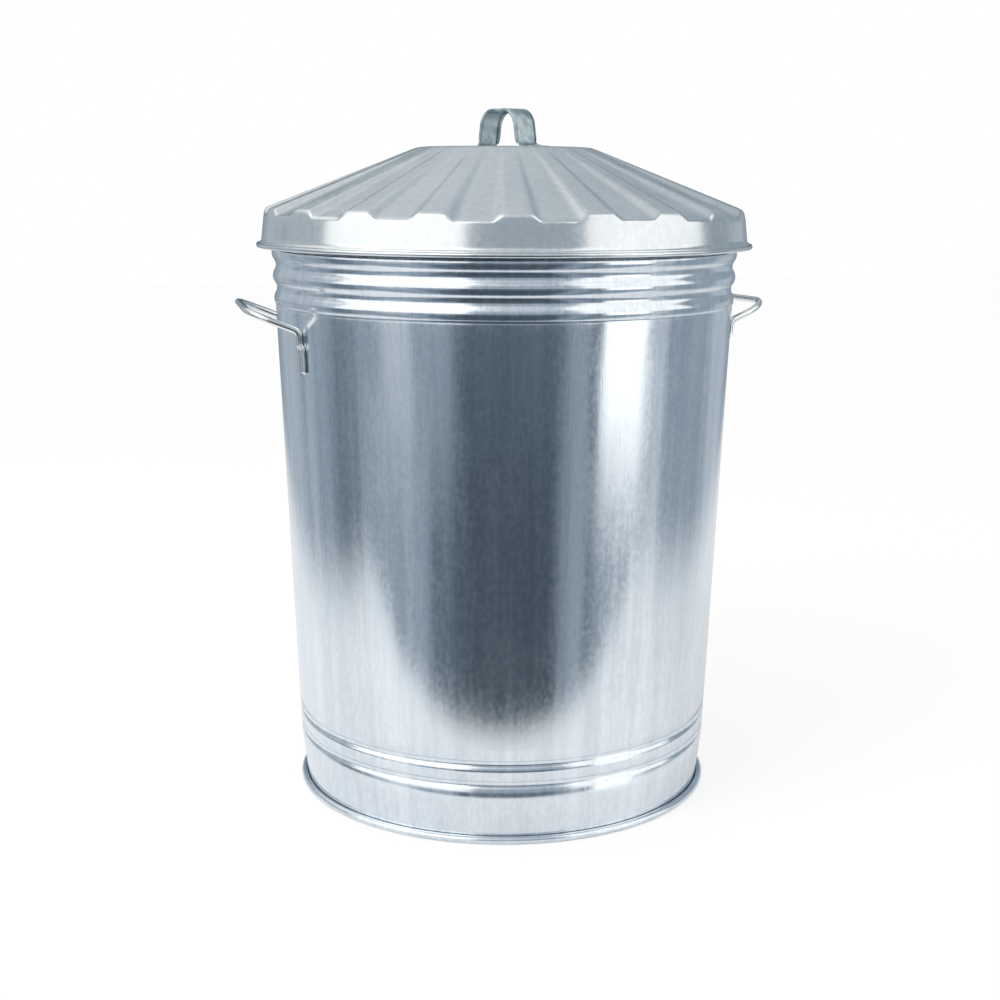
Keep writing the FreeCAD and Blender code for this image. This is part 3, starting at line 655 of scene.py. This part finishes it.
def strap_edges():
    """The rolled long edges along the arch, closed tight, and tapered off where the feet begin."""
    points = strap_points()[2:5]
    foot = points[2]
    leg = points[1] - foot
    foot = foot + leg.normalized() * STRAP_BEND
    middle = Vector((0, 0, points[0].z))
    edges = bmesh.new()
    for side in (-1, 1):
        across = (STRAP_WIDTH / 2 - STRAP_ROLL) * side
        start = middle + Vector((0, across, STRAP_SHEET - STRAP_ROLL))
        section = bmesh.new()
        facing = Matrix.Translation(start) @ Matrix.Rotation(math.pi / 2, 4, "Y")
        bmesh.ops.create_circle(section, segments=16, radius=STRAP_ROLL, matrix=facing)
        bar = Bar(section)
        bar.follow([middle, points[1], foot], (STRAP_CORNER,), 12, run_parts=3)
        for number in range(1, 5):
            bar.push(-leg.normalized() * 0.0011)
            corners = bar.corners()
            centre = sum((vert.co for vert in corners), Vector()) / len(corners)
            for vert in corners:
                vert.co = centre + (vert.co - centre) * (1 - number * 0.12)
        bmesh.ops.edgeloop_fill(bar.mesh, edges=bar.ring)
        every = bar.mesh.verts[:] + bar.mesh.edges[:] + bar.mesh.faces[:]
        bmesh.ops.mirror(bar.mesh, geom=every, matrix=Matrix(), merge_dist=0.00002, axis="X")
        bmesh.ops.translate(bar.mesh, vec=(0, STRAP_OFFSET, 0), verts=bar.mesh.verts)
        bmesh.ops.remove_doubles(bar.mesh, verts=bar.mesh.verts, dist=0.00001)
        bmesh.ops.recalc_face_normals(bar.mesh, faces=bar.mesh.faces)
        joined(edges, bar.mesh)
    return edges


STRAP_ZINC = zinc("strap_zinc", (0.26, 0.33, 0.36), (0.54, 0.62, 0.65), 0.42, (1, 0.4), (0.006, 0.9))
finished(
    "lid_strap", seated(strap_band()), STRAP_ZINC, "lid", "strap_zinc", "lid_strap_handle",
    thickness=STRAP_SHEET,
)
finished(
    "lid_strap_edges", seated(strap_edges()), STRAP_ZINC, "lid", "strap_zinc", "lid_strap_handle"
)


# ---- Lid handle rivets ------------------------------------------------------------------------
# One flat-domed steel rivet through each foot of the strap, hammered over under the disc.

RIVET = 0.0024
RIVET_HEAD = 0.005
RIVET_HEAD_HEIGHT = 0.0014
RIVET_TAIL_HEIGHT = 0.0016
RIVET_REACH = STRAP_FOOT_REACH + STRAP_BEND + STRAP_FOOT / 2


def rivets():
    """Both rivets: a rounded tail under the disc, a shank and a low domed head."""
    pair = bmesh.new()
    top = LID_HEIGHT + STRAP_SHEET
    low = LID_HEIGHT - LID_SHEET
    for side in (-1, 1):
        line = Outline(0.0, low - RIVET_TAIL_HEIGHT)
        line.arc((RIVET_HEAD * 0.5, low - RIVET_TAIL_HEIGHT * 0.8), (RIVET_HEAD * 0.8, low), 6)
        line.line(RIVET, low)
        line.line(RIVET, top)
        line.line(RIVET_HEAD, top)
        line.arc((RIVET_HEAD * 0.5, top + RIVET_HEAD_HEIGHT * 0.77), (0.0, top + RIVET_HEAD_HEIGHT), 8)
        rivet = line.turned(32)
        bmesh.ops.translate(rivet, vec=(RIVET_REACH * side, STRAP_OFFSET, 0), verts=rivet.verts)
        joined(pair, rivet)
    return pair


RIVET_STEEL = zinc("rivet_steel", (0.50, 0.52, 0.54), (0.70, 0.72, 0.74), 0.35, (1, 0.3), (0.003, 0.3))
finished("lid_rivets", seated(rivets()), RIVET_STEEL, "lid", "rivet_steel", "lid_handle_rivets")


# ---- Studio -----------------------------------------------------------------------------------
# A pale table in a plain white studio, one soft lamp that casts the shadow, and what the metal
# mirrors: a dark gap where the camera stands, with soft lamps and greyer panels at both sides.

CAMERA_TURN = math.radians(-18.0)
CAMERA_DISTANCE = 1.6428
CAMERA_HEIGHT = 0.6263
CAMERA_DOWN = math.radians(11.448)
CAMERA_ROLL = math.radians(0.283)
LENS = 57.38
SHIFT = -0.003

bpy.context.scene.view_settings.view_transform = "Standard"
camera = bpy.data.objects.new("camera", bpy.data.cameras.new("camera"))
bpy.context.scene.collection.objects.link(camera)
bpy.context.scene.camera = camera
camera.data.sensor_width = 36.0
camera.data.lens = LENS
camera.data.shift_x = SHIFT
stand = Matrix.Rotation(CAMERA_TURN, 4, "Z") @ Matrix.Translation((0, -CAMERA_DISTANCE, CAMERA_HEIGHT))
tilt = Matrix.Rotation(math.radians(90) - CAMERA_DOWN, 4, "X")
camera.matrix_world = stand @ tilt @ Matrix.Rotation(CAMERA_ROLL, 4, "Z")

# What the metal mirrors, as the camera faces it: bearings to the right and heights in degrees,
# where each panel starts and ends, and how bright it is.
ROOM = 0.43
GAP = 0.12
PANELS = (
    (-24, 31, -60, -13, GAP),
    (-24, 31, -13, 3, 0.18),
    (-38, -24, -60, -15, 0.2),
    (-97, -78, -60, 3, 0.26),
    (-63, -46, -13, 3, 0.66),
    (-63, -42, -60, -13, 0.46),
    (42, 50, -60, 3, 0.24),
    (50, 75, -14, 3, 1.6),
    (78, 87, -60, 3, 0.68),
    (-150, -127, -60, 3, 0.56),
    (-118, -113, -60, 3, 0.6),
    (127, 150, -60, 3, 0.6),
    (-150, -90, 3, 60, 0.6),
    (-90, -17, 3, 60, 1.35),
    (-17, 37, 3, 60, 0.5),
    (37, 104, 3, 60, 1.2),
)

studio = bpy.data.worlds.new("studio")
bpy.context.scene.world = studio
sky = Finish(studio)
turned_view = {"Vector": sky.add("ShaderNodeTexCoord"), "Rotation": (0, 0, -CAMERA_TURN)}
direction = sky.add("ShaderNodeMapping", {"vector_type": "POINT"}, turned_view)
side = sky.add("ShaderNodeSeparateXYZ", None, {0: direction}, output=0)
depth = sky.add("ShaderNodeSeparateXYZ", None, {0: direction}, output=1)
height = sky.add("ShaderNodeSeparateXYZ", None, {0: direction}, output=2)
bearing = side.math("ARCTAN2", side, -depth) * (180 / math.pi)
rise = height.math("ARCSINE", height) * (180 / math.pi)
room = ROOM
for start, end, low, high, bright in PANELS:
    room = room + bearing.inside(start, end, 1.5) * rise.inside(low, high, 2.5) * (bright - ROOM)
around = bearing.math("ABSOLUTE", bearing)
room = room - around.between(158, 172) * (1 - rise.between(10, 30)) * (ROOM - GAP)
overhead = rise.between(20, 42)
room = room + overhead * (0.26 - side * 0.32)
glossy = sky.add("ShaderNodeLightPath", output=3)
tint = sky.mix(room.between(0.0, 1.1), (0.58, 0.80, 1.0, 1), (1.0, 1.0, 1.0, 1))
colour = sky.mix(glossy, (1, 1, 1, 1), tint)
seen = 1 - glossy + glossy * room
light = sky.add("ShaderNodeBackground", None, {"Color": colour, "Strength": seen})
sky.add("ShaderNodeOutputWorld", None, {"Surface": light})

lamp = bpy.data.objects.new("lamp", bpy.data.lights.new("lamp", "AREA"))
bpy.context.scene.collection.objects.link(lamp)
lamp.data.size = 1.2
lamp.data.energy = 26.0
lamp.visible_glossy = False
lamp.location = (-1.6, -0.9, 2.2)
lamp.rotation_euler = (Vector((0, 0, 0.2)) - lamp.location).to_track_quat("-Z", "Y").to_euler()

table_mesh = bmesh.new()
bmesh.ops.create_grid(table_mesh, x_segments=1, y_segments=1, size=8.0)
table_data = bpy.data.meshes.new("table")
table_mesh.to_mesh(table_data)
table_mesh.free()
table = bpy.data.objects.new("table", table_data)
bpy.context.scene.collection.objects.link(table)
pale = bpy.data.materials.new("pale_table")
table_data.materials.append(pale)
finish = Finish(pale)
turned_place = {"Vector": finish.add("ShaderNodeTexCoord", output=3), "Rotation": (0, 0, -CAMERA_TURN)}
place = finish.add("ShaderNodeMapping", None, turned_place)
across = finish.add("ShaderNodeSeparateXYZ", None, {0: place}, output=0)
away = finish.add("ShaderNodeSeparateXYZ", None, {0: place}, output=1)
on_table = across.inside(-1.0, 1.1, 0.3) * away.between(-0.52, -0.42)
on_table = on_table * (0.84 - across * across * 0.25)
seen = finish.add("ShaderNodeLightPath")
glossy = finish.add("ShaderNodeLightPath", output=3)
matt = finish.add("ShaderNodeBsdfDiffuse", None, {"Color": (0.93, 0.93, 0.93, 1)})
glow = finish.add("ShaderNodeEmission", None, {"Color": (1, 1, 1, 1), "Strength": 1.0})
clear = finish.add("ShaderNodeBsdfTransparent")
surface = finish.add("ShaderNodeMixShader", None, {0: seen * 0.75, 1: matt, 2: glow})
surface = finish.add("ShaderNodeMixShader", None, {0: glossy * (1 - on_table), 1: surface, 2: clear})
finish.add("ShaderNodeOutputMaterial", None, {"Surface": surface})
